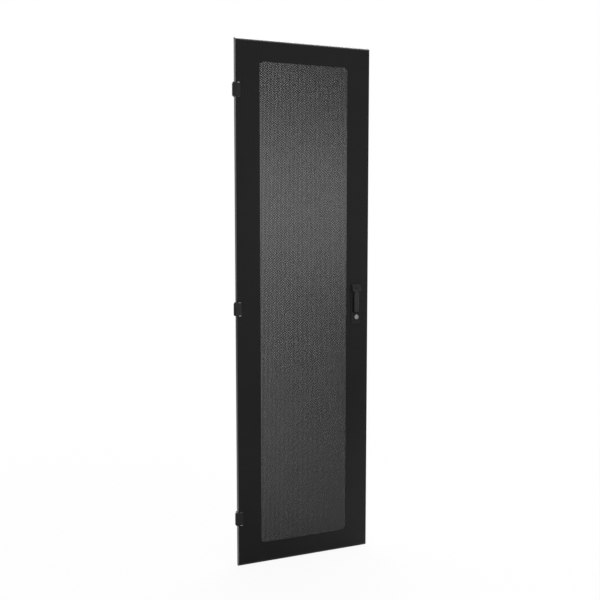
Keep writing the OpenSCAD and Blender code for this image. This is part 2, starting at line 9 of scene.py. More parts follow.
import bpy
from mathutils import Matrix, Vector

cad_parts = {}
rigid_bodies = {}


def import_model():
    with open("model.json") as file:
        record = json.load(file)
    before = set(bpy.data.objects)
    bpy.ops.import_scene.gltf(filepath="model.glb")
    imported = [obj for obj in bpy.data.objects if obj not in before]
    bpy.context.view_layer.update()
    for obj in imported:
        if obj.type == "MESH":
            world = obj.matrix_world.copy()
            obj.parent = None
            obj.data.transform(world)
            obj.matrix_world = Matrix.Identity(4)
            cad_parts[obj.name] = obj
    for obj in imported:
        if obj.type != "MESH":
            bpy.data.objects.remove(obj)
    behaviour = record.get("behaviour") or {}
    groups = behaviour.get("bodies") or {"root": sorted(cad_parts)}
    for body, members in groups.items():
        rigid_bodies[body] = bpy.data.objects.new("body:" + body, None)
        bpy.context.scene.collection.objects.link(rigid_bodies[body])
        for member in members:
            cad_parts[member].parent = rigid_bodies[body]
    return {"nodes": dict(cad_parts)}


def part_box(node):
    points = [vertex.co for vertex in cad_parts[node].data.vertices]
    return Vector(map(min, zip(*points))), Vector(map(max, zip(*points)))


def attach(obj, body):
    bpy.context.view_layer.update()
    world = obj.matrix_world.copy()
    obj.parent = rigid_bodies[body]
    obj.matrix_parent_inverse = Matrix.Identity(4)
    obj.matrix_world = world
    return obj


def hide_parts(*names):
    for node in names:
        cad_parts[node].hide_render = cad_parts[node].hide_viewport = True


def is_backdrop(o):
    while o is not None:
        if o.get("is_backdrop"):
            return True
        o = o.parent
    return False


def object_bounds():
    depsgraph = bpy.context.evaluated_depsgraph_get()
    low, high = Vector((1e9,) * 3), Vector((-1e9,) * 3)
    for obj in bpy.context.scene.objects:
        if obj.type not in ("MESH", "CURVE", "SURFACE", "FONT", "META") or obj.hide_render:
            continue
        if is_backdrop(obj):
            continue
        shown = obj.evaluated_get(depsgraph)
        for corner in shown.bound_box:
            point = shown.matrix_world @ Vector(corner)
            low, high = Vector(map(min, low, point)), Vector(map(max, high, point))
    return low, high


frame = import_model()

Colour = tuple[float, float, float]
Metres = tuple[float, float, float]
LOG = logging.getLogger("cabinet_door")


# ---------- shader maths ----------

class Term:
    """A number socket that takes part in Python expressions."""

    def __init__(self, graph: "Graph", socket: bpy.types.NodeSocket) -> None:
        """Keeps the graph and the socket.

        Args:
            graph: the graph that the socket belongs to.
            socket: the output that gives the number.
        """
        self.graph = graph
        self.socket = socket

    def _maths(self, operation: str, first: Any, second: Any = None) -> "Term":
        """Adds one Math node.

        Args:
            operation: the node's operation.
            first: the first value, a Term or a number.
            second: the second value, if the operation has one.

        Returns:
            The result as a Term.
        """
        values = {0: first} if second is None else {0: first, 1: second}
        made = self.graph.node("ShaderNodeMath", {"operation": operation}, values)
        return Term(self.graph, made.outputs[0])

    def __add__(self, other: Any) -> "Term":
        """self + other."""
        return self._maths("ADD", self, other)

    __radd__ = __add__

    def __sub__(self, other: Any) -> "Term":
        """self - other."""
        return self._maths("SUBTRACT", self, other)

    def __rsub__(self, other: Any) -> "Term":
        """other - self."""
        return self._maths("SUBTRACT", other, self)

    def __mul__(self, other: Any) -> "Term":
        """self * other."""
        return self._maths("MULTIPLY", self, other)

    __rmul__ = __mul__

    def __truediv__(self, other: Any) -> "Term":
        """self / other."""
        return self._maths("DIVIDE", self, other)

    def larger(self, other: Any) -> "Term":
        """The larger of the two values."""
        return self._maths("MAXIMUM", self, other)

    def clipped(self) -> "Term":
        """The value held between 0 and 1."""
        made = self.graph.node("ShaderNodeClamp", {}, {"Value": self})
        return Term(self.graph, made.outputs[0])


class Graph:
    """A node tree that is written as expressions."""

    def __init__(self, tree: bpy.types.NodeTree) -> None:
        """Empties the tree.

        Args:
            tree: the node tree of a material or of the world.
        """
        self.tree = tree
        self.tree.nodes.clear()

    def node(self, kind: str, settings: dict[str, Any] | None = None,
             values: dict[Any, Any] | None = None) -> bpy.types.Node:
        """Adds a node.

        Args:
            kind: the node's type.
            settings: its settings, which are made before its inputs.
            values: numbers, colours, sockets or Terms for its inputs, by name, identifier or index.

        Returns:
            The node.
        """
        made = self.tree.nodes.new(kind)
        for name, setting in (settings or {}).items():
            setattr(made, name, setting)
        for name, value in (values or {}).items():
            target = self.input_of(made, name)
            source = value.socket if isinstance(value, Term) else value
            if isinstance(source, bpy.types.NodeSocket):
                self.tree.links.new(source, target)
            else:
                target.default_value = source
        return made

    @staticmethod
    def input_of(made: bpy.types.Node, name: Any) -> bpy.types.NodeSocket:
        """Finds one input of a node.

        Args:
            made: the node.
            name: the input's identifier, name or index.

        Returns:
            The input.
        """
        if isinstance(name, int):
            return made.inputs[name]
        for socket in made.inputs:
            if socket.identifier == name:
                return socket
        return made.inputs[name]

    def place(self, stretch: Metres = (1.0, 1.0, 1.0)) -> bpy.types.NodeSocket:
        """The point on the piece, in metres.

        Args:
            stretch: what each coordinate is multiplied by.

        Returns:
            The point's socket.
        """
        spot = self.node("ShaderNodeTexCoord").outputs["Object"]
        return self.node("ShaderNodeMapping", {}, {"Vector": spot, "Scale": stretch}).outputs[0]

    def noise(self, scale: float, detail: float = 2.0, stretch: Metres = (1.0, 1.0, 1.0)) -> Term:
        """Cloudy noise.

        Args:
            scale: how many cells lie in a metre.
            detail: how many finer layers lie on the first.
            stretch: what each coordinate is multiplied by.

        Returns:
            The noise, from 0 to 1.
        """
        made = self.node("ShaderNodeTexNoise", {}, {
            "Vector": self.place(stretch), "Scale": scale, "Detail": detail})
        return Term(self, made.outputs[0])

    def grain(self, scale: float) -> Term:
        """Round grains.

        Args:
            scale: how many grains lie in a metre.

        Returns:
            The distance to the nearest grain's middle, in grains.
        """
        made = self.node("ShaderNodeTexVoronoi", {}, {"Vector": self.place(), "Scale": scale})
        return Term(self, made.outputs["Distance"])

    def mixed(self, share: Term, first: Colour | bpy.types.NodeSocket,
              second: Colour | bpy.types.NodeSocket) -> bpy.types.NodeSocket:
        """A blend of two colours.

        Args:
            share: how much of the second colour shows, from 0 to 1.
            first: the colour at 0.
            second: the colour at 1.

        Returns:
            The blended colour's socket.
        """
        full = [(*c, 1.0) if isinstance(c, tuple) else c for c in (first, second)]
        made = self.node("ShaderNodeMix", {"data_type": "RGBA"}, {
            "Factor_Float": share, "A_Color": full[0], "B_Color": full[1]})
        return [s for s in made.outputs if s.identifier == "Result_Color"][0]

    def edges(self, radius: float) -> tuple[bpy.types.NodeSocket, Term]:
        """Rounds the piece's sharp edges.

        Args:
            radius: the rounding in metres.

        Returns:
            The rounded normal, and a mask that is 1 on the edges.
        """
        soft = self.node("ShaderNodeBevel", {"samples": 4}, {"Radius": radius}).outputs[0]
        plain = self.node("ShaderNodeNewGeometry").outputs["Normal"]
        turn = self.node("ShaderNodeVectorMath", {"operation": "DOT_PRODUCT"}, {0: soft, 1: plain})
        steepness = 6.0
        return soft, ((1.0 - Term(self, turn.outputs["Value"])) * steepness).clipped()

    def bump(self, height: Term, strength: float, depth: float,
             normal: bpy.types.NodeSocket | None = None) -> bpy.types.NodeSocket:
        """A relief that only the light shows.

        Args:
            height: the relief's height, about 0 to 1.
            strength: how much of it shows, from 0 to 1.
            depth: the height 1 in metres.
            normal: the normal under the relief, if it isn't the surface's own.

        Returns:
            The normal with the relief.
        """
        values: dict[Any, Any] = {"Height": height, "Strength": strength, "Distance": depth}
        if normal is not None:
            values["Normal"] = normal
        return self.node("ShaderNodeBump", {}, values).outputs[0]

    def ray(self, kind: str) -> Term:
        """Whether the light's path is of a kind.

        Args:
            kind: the name of the Light Path node's output.

        Returns:
            1 if it is, or else 0.
        """
        return Term(self, self.node("ShaderNodeLightPath").outputs[kind])

    def blend(self, share: Any, first: bpy.types.Node, second: bpy.types.Node) -> bpy.types.Node:
        """A blend of two shaders.

        Args:
            share: how much of the second shader shows, from 0 to 1.
            first: the shader at 0.
            second: the shader at 1.

        Returns:
            The blended shader.
        """
        return self.node("ShaderNodeMixShader", {}, {0: share, 1: first.outputs[0], 2: second.outputs[0]})

    def surface(self, values: dict[Any, Any]) -> None:
        """Ends the tree in one Principled shader.

        Args:
            values: the shader's inputs by name.
        """
        shader = self.node("ShaderNodeBsdfPrincipled", {}, values)
        self.node("ShaderNodeOutputMaterial", {}, {"Surface": shader.outputs[0]})


# ---------- finishes ----------

def shade(colour: Colour, factor: float, lift: float = 0.0) -> Colour:
    """A darker or lighter kind of a colour.

    Args:
        colour: the colour.
        factor: what each channel is multiplied by.
        lift: what each channel gains after that.

    Returns:
        The new colour, with no channel above 1.
    """
    red, green, blue = (min(1.0, channel * factor + lift) for channel in colour)
    return red, green, blue


@dataclass(frozen=True)
class Finish:
    """What every finish has.

    Attributes:
        name: the material slot that it fills.
    """

    name: str

    def material(self) -> bpy.types.Material:
        """The finish as a material, made once."""
        title = f"{self.name}_finish"
        known = bpy.data.materials.get(title)
        if known is not None:
            return known
        made = bpy.data.materials.new(title)
        made.use_nodes = True
        self.draw(Graph(made.node_tree))
        return made

    def draw(self, graph: Graph) -> None:
        """Writes the finish into its tree.

        Args:
            graph: the material's tree.
        """
        raise NotImplementedError


@dataclass(frozen=True)
class PowderCoat(Finish):
    """Textured powder paint that is baked on steel.

    Attributes:
        colour: the paint's mean colour.
        gloss: how strongly it mirrors, face on.
        roughness: how blurred it mirrors.
        peel: how strongly the orange peel shows.
        peel_depth: the peel's depth in metres.
        edge: the rounding of its edges in metres, or 0 for edges that are left sharp.
        sheen: how fast the sheen grows as the surface turns away.
        sheen_start: how far the surface turns away before the sheen starts, from 0 to 1.
        sheen_roughness: how blurred the sheen mirrors.
    """

    colour: Colour = (0.0155, 0.0157, 0.0157)
    gloss: float = 0.04
    roughness: float = 0.42
    peel: float = 0.16
    peel_depth: float = 0.00012
    edge: float = 0.0007
    sheen: float = 4.0
    sheen_start: float = 0.13
    sheen_roughness: float = 0.45

    def draw(self, graph: Graph) -> None:
        """Paint with a fine peel, faint cloudiness, rubbed edges and a sheen where it turns away."""
        cloud = graph.noise(scale=3.0, detail=3.0)
        patch = graph.noise(scale=38.0, detail=4.0)
        peel = graph.noise(scale=620.0) + graph.grain(scale=480.0) * 0.35
        tone = graph.mixed(cloud, shade(self.colour, 0.86), shade(self.colour, 1.22))
        normal = None
        if self.edge > 0.0:
            normal, mask = graph.edges(self.edge)
            rubbed = (mask * patch * 1.3).clipped()
            tone = graph.mixed(rubbed, tone, shade(self.colour, 2.6, lift=0.004))
        facing = Term(graph, graph.node("ShaderNodeLayerWeight", {}, {"Blend": 0.5}).outputs["Facing"])
        graph.surface({
            "Base Color": tone,
            "Coat Weight": ((facing - self.sheen_start) * self.sheen).clipped(),
            "Coat Roughness": self.sheen_roughness,
            "Roughness": self.roughness - 0.05 + cloud * 0.06 + patch * 0.05,
            "Specular IOR Level": self.gloss,
            "Normal": graph.bump(peel, self.peel, self.peel_depth, normal)})


@dataclass(frozen=True)
class Plated(Finish):
    """Zinc, nickel or chrome on steel, or plain metal.

    Attributes:
        colour: the metal's colour.
        tint: the colour of its cloudy film.
        roughness: how blurred it mirrors.
        depth: the scratches' depth in metres.
        edge: the rounding of its edges in metres.
    """

    colour: Colour = (0.56, 0.57, 0.58)
    tint: Colour = (0.50, 0.49, 0.44)
    roughness: float = 0.32
    depth: float = 0.00004
    edge: float = 0.0003

    def draw(self, graph: Graph) -> None:
        """Metal with cloudy passivation, fine scratches and bright edges."""
        cloud = graph.noise(scale=90.0, detail=4.0)
        lines = graph.noise(scale=900.0, detail=3.0)
        normal, mask = graph.edges(self.edge)
        film = (cloud * 1.6 - 0.3).clipped()
        polish = (mask * 0.5).clipped()
        tone = graph.mixed(polish, graph.mixed(film, self.colour, self.tint), shade(self.colour, 1.3))
        graph.surface({
            "Base Color": tone, "Metallic": 1.0,
            "Roughness": self.roughness - 0.04 + cloud * 0.07 + lines * 0.05,
            "Normal": graph.bump(lines, strength=0.12, depth=self.depth, normal=normal)})


@dataclass(frozen=True)
class Moulded(Finish):
    """Glass-filled nylon or rubber with a fine spark-eroded grain.

    Attributes:
        colour: the mean colour.
        gloss: how strongly it mirrors, face on.
        roughness: how blurred it mirrors.
        grain: how many grains lie in a metre.
        depth: the grain's depth in metres.
        edge: the rounding of its edges in metres.
    """

    colour: Colour = (0.012, 0.012, 0.013)
    gloss: float = 0.25
    roughness: float = 0.5
    grain: float = 900.0
    depth: float = 0.0001
    edge: float = 0.0005

    def draw(self, graph: Graph) -> None:
        """Grained plastic whose edges are polished by hands."""
        cloud = graph.noise(scale=25.0, detail=3.0)
        pits = graph.grain(self.grain) * 0.6 + graph.noise(self.grain * 1.4) * 0.5
        normal, mask = graph.edges(self.edge)
        tone = graph.mixed(cloud, shade(self.colour, 0.85), shade(self.colour, 1.2))
        graph.surface({
            "Base Color": tone,
            "Roughness": self.roughness + cloud * 0.08 - mask * 0.12,
            "Specular IOR Level": self.gloss,
            "Normal": graph.bump(pits, strength=0.25, depth=self.depth, normal=normal)})


class Looks(Enum):
    """The finishes of the door, by material slot."""

    PANEL = PowderCoat("panel_paint")
    MESH = PowderCoat("mesh_paint", colour=(0.004, 0.0041, 0.0042), gloss=0.5, roughness=0.38, edge=0.0,
                      sheen=0.0)
    CHANNEL = PowderCoat("channel_paint", colour=(0.0075, 0.008, 0.0085), roughness=0.45)
    HINGE = PowderCoat("hinge_paint", colour=(0.0125, 0.013, 0.0133), gloss=0.2, roughness=0.4)
    BRIGHT = Plated("bright_steel", colour=(0.62, 0.62, 0.61), tint=(0.56, 0.56, 0.56), roughness=0.24)
    ZINC = Plated("zinc_steel")
    RUBBER = Moulded("rubber", colour=(0.011, 0.011, 0.011), gloss=0.2, roughness=0.72, grain=1400.0)
    COPPER = Plated("copper_stud", colour=(0.66, 0.34, 0.19), tint=(0.42, 0.20, 0.12), roughness=0.34)
    BRASS = Plated("brass_nut", colour=(0.72, 0.56, 0.27), tint=(0.58, 0.43, 0.20), roughness=0.3)
    PLASTIC = Moulded("handle_plastic", colour=(0.0125, 0.0125, 0.013), gloss=0.15)
    CAST = PowderCoat("handle_metal", colour=(0.0135, 0.0138, 0.014), gloss=0.25, roughness=0.38, peel=0.1,
                      sheen=1.2)
    CHROME = Plated("lock_chrome", colour=(0.72, 0.73, 0.74), tint=(0.66, 0.67, 0.69), roughness=0.14,
                    depth=0.00001)


# ---------- modelling helpers ----------

def own(name: str) -> bpy.types.Object:
    """Names the object that the last operator made.

    Args:
        name: the object's name, which its mesh gets too.

    Returns:
        The object.
    """
    made = bpy.context.object
    made.name = name
    made.data.name = name
    return made


def clear_selection() -> None:
    """Deselects every object."""
    if bpy.context.object is not None and bpy.context.object.mode != "OBJECT":
        bpy.ops.object.mode_set(mode="OBJECT")
    bpy.ops.object.select_all(action="DESELECT")


def activate(piece: bpy.types.Object) -> None:
    """Selects one object alone.

    Args:
        piece: the object.
    """
    clear_selection()
    piece.select_set(True)
    bpy.context.view_layer.objects.active = piece


def pick(piece: bpy.types.Object, wanted: Callable[[Any], bool], kind: str = "FACE") -> None:
    """Selects in edit mode the faces, edges or vertices that pass a test.

    Args:
        piece: the active object, in edit mode.
        wanted: the test; it gets a polygon, an edge or a vertex.
        kind: FACE, EDGE or VERT.
    """
    bpy.ops.mesh.select_mode(type=kind)
    bpy.ops.mesh.select_all(action="DESELECT")
    bpy.ops.object.mode_set(mode="OBJECT")
    parts = {"FACE": piece.data.polygons, "EDGE": piece.data.edges, "VERT": piece.data.vertices}[kind]
    for part in parts:
        part.select = wanted(part)
    bpy.ops.object.mode_set(mode="EDIT")


def settle(piece: bpy.types.Object) -> None:
    """Moves an object's place, turn and size into its mesh.

    Args:
        piece: the object.
    """
    activate(piece)
    bpy.ops.object.transform_apply(location=True, rotation=True, scale=True)


def apply_modifiers(piece: bpy.types.Object) -> None:
    """Applies an object's modifiers in order.

    Args:
        piece: the object.
    """
    activate(piece)
    for modifier in list(piece.modifiers):
        bpy.ops.object.modifier_apply(modifier=modifier.name)


def copy_at(piece: bpy.types.Object, name: str, move: Vector) -> bpy.types.Object:
    """Copies a piece with its own mesh.

    Args:
        piece: the object.
        name: the copy's name.
        move: the way from the object to the copy.

    Returns:
        The copy, settled.
    """
    made = piece.copy()
    made.data = piece.data.copy()
    made.name = name
    made.data.name = name
    bpy.context.scene.collection.objects.link(made)
    made.location = move
    settle(made)
    return made


def finish_piece(piece: bpy.types.Object, look: Looks, body: str) -> None:
    """Gives a new piece its material, slot and body.

    Args:
        piece: the piece.
        look: its finish.
        body: the body that carries it.
    """
    piece.data.materials.clear()
    piece.data.materials.append(look.value.material())
    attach(piece, body)
    LOG.info("%s: %d faces, %s, on %s", piece.name, len(piece.data.polygons), look.value.name, body)


def dress_nodes(names: Iterable[str], look: Looks) -> None:
    """Gives CAD nodes a finish.

    Args:
        names: the nodes' names.
        look: their finish.
    """
    for name in names:
        node = frame["nodes"][name]
        for slot in node.material_slots:
            slot.material = look.value.material()
        LOG.info("%s wears %s", name, look.value.name)


def domed_stub(name: str, radius: float, height: float, axis: str, sides: int = 20) -> bpy.types.Object:
    """A short round stub whose free end is domed in three steps.

    Args:
        name: the piece's name.
        radius: its radius.
        height: its height from foot to top.
        axis: the way it points: "Y" to the back, "-Z" downwards.
        sides: how many sides it has.

    Returns:
        The stub. It turns about a quarter of its height, so its foot lies beside the origin: a quarter of
        its height in front of it if it points to the back, half its height above it if it points down.
    """
    clear_selection()
    bpy.ops.mesh.primitive_cylinder_add(vertices=sides, radius=radius, depth=height * 0.5,
                                        location=(0.0, 0.0, height * 0.25))
    stub = own(name)
    bpy.ops.object.mode_set(mode="EDIT")
    pick(stub, lambda face: face.normal.z > 0.9)
    # Each step goes inwards by a share of the radius and up by a share of the height.
    for inwards, rise in ((0.22, 0.28), (0.3, 0.16), (0.3, 0.06)):
        bpy.ops.mesh.inset(thickness=radius * inwards)
        bpy.ops.transform.translate(value=(0.0, 0.0, height * rise))
    bpy.ops.object.mode_set(mode="OBJECT")
    turns = {"Y": (-math.pi / 2, 0.0, 0.0), "-Z": (math.pi, 0.0, 0.0)}
    stub.rotation_euler = turns[axis]
    settle(stub)
    return stub


def repeat(piece: bpy.types.Object, count: int, step: Metres) -> None:
    """Repeats the piece's mesh in a row.

    Args:
        piece: the object.
        count: how often it stands in the row.
        step: the way from one to the next.
    """
    row = piece.modifiers.new("row", "ARRAY")
    row.count = count
    row.use_relative_offset = False
    row.use_constant_offset = True
    row.constant_offset_displace = step
    apply_modifiers(piece)


# ---------- sub-assemblies ----------

SIDES = ("left", "right", "top", "bottom")


@dataclass
class FoldedPanel:
    """The folded and rolled steel panel with its channels, bumpers and earth stud.

    Attributes:
        weld_r: a spot weld's radius.
        weld_h: its height, of which about half stands out of the channel's foot.
        weld_step: about how far apart the spot welds are.
        foot_t: the thickness of the channels' steel.
        sink: how deep a spot weld's origin lies in the foot.
        pieces: the rows of spot welds.
    """

    weld_r: float = 0.0024
    weld_h: float = 0.0005
    weld_step: float = 0.076
    foot_t: float = 0.0012
    sink: float = 0.0001
    pieces: list[bpy.types.Object] = field(default_factory=list)

    def build(self) -> None:
        """Adds the spot welds on the channels' feet."""
        for side in SIDES:
            self.pieces.append(self._weld_row(side))

    def _weld_row(self, side: str) -> bpy.types.Object:
        """The row of spot welds that holds one channel.

        Args:
            side: the window's side that the channel is on.

        Returns:
            The row.
        """
        low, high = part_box(f"stiffener_{side}")
        upright = side in {"left", "right"}
        start, end = (low.z, high.z) if upright else (low.x, high.x)
        count = round((end - start) / self.weld_step)
        step = (end - start) / count
        across = (low.x + high.x) / 2 if upright else (low.z + high.z) / 2
        row = domed_stub(f"spot_welds_{side}", self.weld_r, self.weld_h, "Y", sides=14)
        repeat(row, count, (0.0, 0.0, step) if upright else (step, 0.0, 0.0))
        first = start + step / 2
        y = low.y + self.foot_t - self.sink
        row.location = (across, y, first) if upright else (first, y, across)
        settle(row)
        return row

    def dress(self) -> None:
        """Paints the panel and the channels and plates the small parts."""
        for piece in self.pieces:
            finish_piece(piece, Looks.CHANNEL, "door")
        dress_nodes(["door_panel"], Looks.PANEL)
        dress_nodes([f"stiffener_{side}" for side in SIDES], Looks.CHANNEL)
        dress_nodes(["door_bumpers"], Looks.RUBBER)
        dress_nodes(["earth_stud"], Looks.COPPER)
        dress_nodes(["earth_nut"], Looks.BRASS)


@dataclass
class PerforatedSheet:
    """The finely perforated sheet behind the window, made in tiles inside a plain border.

    Attributes:
        pitch: the way from one hole's middle to the next.
        hole: a hexagonal hole's width across its flats.
        thick: the tiles' thickness.
        plain: the border's thickness.
        lap: the width of the sheet's edge that the channels clamp.
        under: how far the holes run on under the panel at the left and the top.
        right_rim: the unpunched strip inside the window at the right.
        foot_rim: the unpunched strip inside the window at the bottom.
        tiles: how many tiles stand above each other.
        pieces: the tiles and the border.
    """

    pitch: float = 0.0062
    hole: float = 0.00225
    thick: float = 0.0035
    plain: float = 0.0015
    lap: float = 0.012
    under: float = 0.0004
    right_rim: float = 0.0018
    foot_rim: float = 0.0014
    tiles: int = 5
    pieces: list[bpy.types.Object] = field(default_factory=list)

    def build(self) -> None:
        """Models one cell, repeats it into a tile, copies the tile and adds the border."""
        low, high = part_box("perforated_sheet")
        edge = self.lap - self.under
        left, right = low.x + edge, high.x - self.lap - self.right_rim
        foot, top = low.z + self.lap + self.foot_rim, high.z - edge
        # Enough rows for the whole field, and one more for what the trim cuts away.
        rows = math.ceil(((top - foot) / self.pitch + 1.0) / self.tiles)
        tile = self._tile(left, right, low.y, rows)
        start = (foot + top) / 2 - rows * self.pitch * self.tiles / 2
        for index in range(self.tiles):
            move = Vector((0.0, 0.0, start + index * rows * self.pitch))
            made = copy_at(tile, f"mesh_tile_{index + 1}", move)
            self._trim(made, foot, (0.0, 0.0, -1.0))
            self._trim(made, top, (0.0, 0.0, 1.0))
            self._thicken(made, self.thick)
            self.pieces.append(made)
        bpy.data.objects.remove(tile)
        self.pieces.append(self._border(low, high, {
            (0, low.x): left, (0, high.x): right, (2, low.z): foot, (2, high.z): top}))

    def _tile(self, left: float, right: float, front: float, rows: int) -> bpy.types.Object:
        """One tile's front face, with its lowest row at height 0.

        Args:
            left: the perforated field's left end.
            right: its right end.
            front: the sheet's front face.
            rows: how many holes stand above each other in a column.

        Returns:
            The tile, flat.
        """
        # Hexagonal cells fill the sheet; every other column stands half a pitch higher.
        corner_r = self.pitch / math.sqrt(3)
        column = self.pitch * math.sqrt(3) / 2
        pairs = math.ceil((right - left) / column / 2 + 0.5)
        clear_selection()
        bpy.ops.mesh.primitive_circle_add(
            vertices=6, radius=corner_r, fill_type="NGON", location=(0.0, 0.0, 0.0),
            rotation=(math.pi / 2, math.pi / 6, 0.0))
        tile = own("mesh_tile")
        settle(tile)
        bpy.ops.object.mode_set(mode="EDIT")
        bpy.ops.mesh.select_all(action="SELECT")
        bpy.ops.mesh.inset(thickness=(self.pitch - self.hole) / 2)
        bpy.ops.mesh.delete(type="FACE")
        bpy.ops.mesh.select_all(action="SELECT")
        bpy.ops.mesh.duplicate()
        bpy.ops.transform.translate(value=(column, 0.0, self.pitch / 2))
        bpy.ops.object.mode_set(mode="OBJECT")
        repeat(tile, pairs, (2 * column, 0.0, 0.0))
        repeat(tile, rows, (0.0, 0.0, self.pitch))
        bpy.ops.object.mode_set(mode="EDIT")
        bpy.ops.mesh.select_all(action="SELECT")
        bpy.ops.mesh.remove_doubles(threshold=self.pitch / 100)
        bpy.ops.object.mode_set(mode="OBJECT")
        # Centred on the field, and raised so that the staggered columns share a row's height evenly.
        tile.location = ((left + right) / 2 - (pairs - 0.5) * column, front, self.pitch / 4)
        settle(tile)
        self._trim(tile, left, (-1.0, 0.0, 0.0))
        self._trim(tile, right, (1.0, 0.0, 0.0))
        return tile

    @staticmethod
    def _trim(tile: bpy.types.Object, place: float, outwards: Metres) -> None:
        """Cuts away what lies beyond a plane.

        Args:
            tile: the tile.
            place: where the plane crosses X or Z.
            outwards: the plane's normal, along X or Z.
        """
        activate(tile)
        bpy.ops.object.mode_set(mode="EDIT")
        bpy.ops.mesh.select_all(action="SELECT")
        point = (place, 0.0, 0.0) if outwards[0] else (0.0, 0.0, place)
        bpy.ops.mesh.bisect(plane_co=point, plane_no=outwards, clear_outer=True)
        bpy.ops.object.mode_set(mode="OBJECT")

    @staticmethod
    def _thicken(tile: bpy.types.Object, thickness: float) -> None:
        """Gives a flat tile its thickness towards the back.

        Args:
            tile: the tile.
            thickness: its thickness.
        """
        activate(tile)
        bpy.ops.object.mode_set(mode="EDIT")
        bpy.ops.mesh.select_all(action="SELECT")
        bpy.ops.mesh.normals_make_consistent(inside=False)
        bpy.ops.object.mode_set(mode="OBJECT")
        if tile.data.polygons[0].normal.y > 0.0:
            tile.data.flip_normals()
        wall = tile.modifiers.new("wall", "SOLIDIFY")
        wall.thickness = thickness
        wall.offset = -1.0
        apply_modifiers(tile)

    def _border(self, low: Vector, high: Vector, ends: dict[tuple[int, float], float]) -> bpy.types.Object:
        """The plain border that the channels clamp.

        Args:
            low: the sheet's lowest corner.
            high: the sheet's highest corner.
            ends: where the perforated field ends, by axis and by the sheet's own end.

        Returns:
            The border.
        """
        middle = (low + high) / 2
        clear_selection()
        bpy.ops.mesh.primitive_plane_add(size=1.0, location=(middle.x, low.y, middle.z),
                                         rotation=(math.pi / 2, 0.0, 0.0))
        border = own("mesh_border")
        border.scale = (high.x - low.x, high.z - low.z, 1.0)
        settle(border)
        bpy.ops.object.mode_set(mode="EDIT")
        bpy.ops.mesh.select_all(action="SELECT")
        bpy.ops.mesh.inset(thickness=self.lap)
        bpy.ops.mesh.delete(type="FACE")
        for (axis, outer), end in ends.items():
            inner = outer + math.copysign(self.lap, middle[axis] - outer)
            self._slide(border, axis, inner, end)
        bpy.ops.object.mode_set(mode="OBJECT")
        self._thicken(border, self.plain)
        return border

    def _slide(self, border: bpy.types.Object, axis: int, start: float, end: float) -> None:
        """Moves one edge of the border's opening.

        Args:
            border: the border, in edit mode.
            axis: 0 for an upright edge, 2 for a level one.
            start: where the edge lies.
            end: where it goes.
        """
        pick(border, lambda corner: abs(corner.co[axis] - start) < self.lap / 100, "VERT")
        way = Vector()
        way[axis] = end - start
        bpy.ops.transform.translate(value=way)

    def dress(self) -> None:
        """Paints the tiles and lets them stand for the plain sheet."""
        for piece in self.pieces:
            finish_piece(piece, Looks.MESH, "door")
            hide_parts("perforated_sheet")


@dataclass
class HingeSet:
    """The three pin hinges.

    Attributes:
        places: the hinges' places on the door.
        tail_r: the radius of a pin's riveted tail.
        tail_h: the tail's height, of which the upper half lies in the hinge's lower knuckle.
        pieces: the tails.
    """

    places: tuple[str, ...] = ("top", "middle", "bottom")
    tail_r: float = 0.0034
    tail_h: float = 0.0016
    pieces: list[bpy.types.Object] = field(default_factory=list)

    def build(self) -> None:
        """Adds the riveted tails at the pins' lower ends."""
        for place in self.places:
            low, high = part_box(f"hinge_pin_{place}")
            axis = ((low.x + high.x) / 2, (low.y + high.y) / 2)
            tail = domed_stub(f"pin_tail_{place}", self.tail_r, self.tail_h, "-Z")
            tail.location = (*axis, low.z)
            settle(tail)
            self.pieces.append(tail)

    def dress(self) -> None:
        """Paints the leaves and the pins and plates the fixings."""
        for piece in self.pieces:
            finish_piece(piece, Looks.HINGE, "cabinet_side")
        for place in self.places:
            dress_nodes([f"hinge_door_leaf_{place}", f"hinge_frame_leaf_{place}", f"hinge_pin_{place}"],
                        Looks.HINGE)
        dress_nodes(["hinge_studs", "hinge_nuts"], Looks.ZINC)


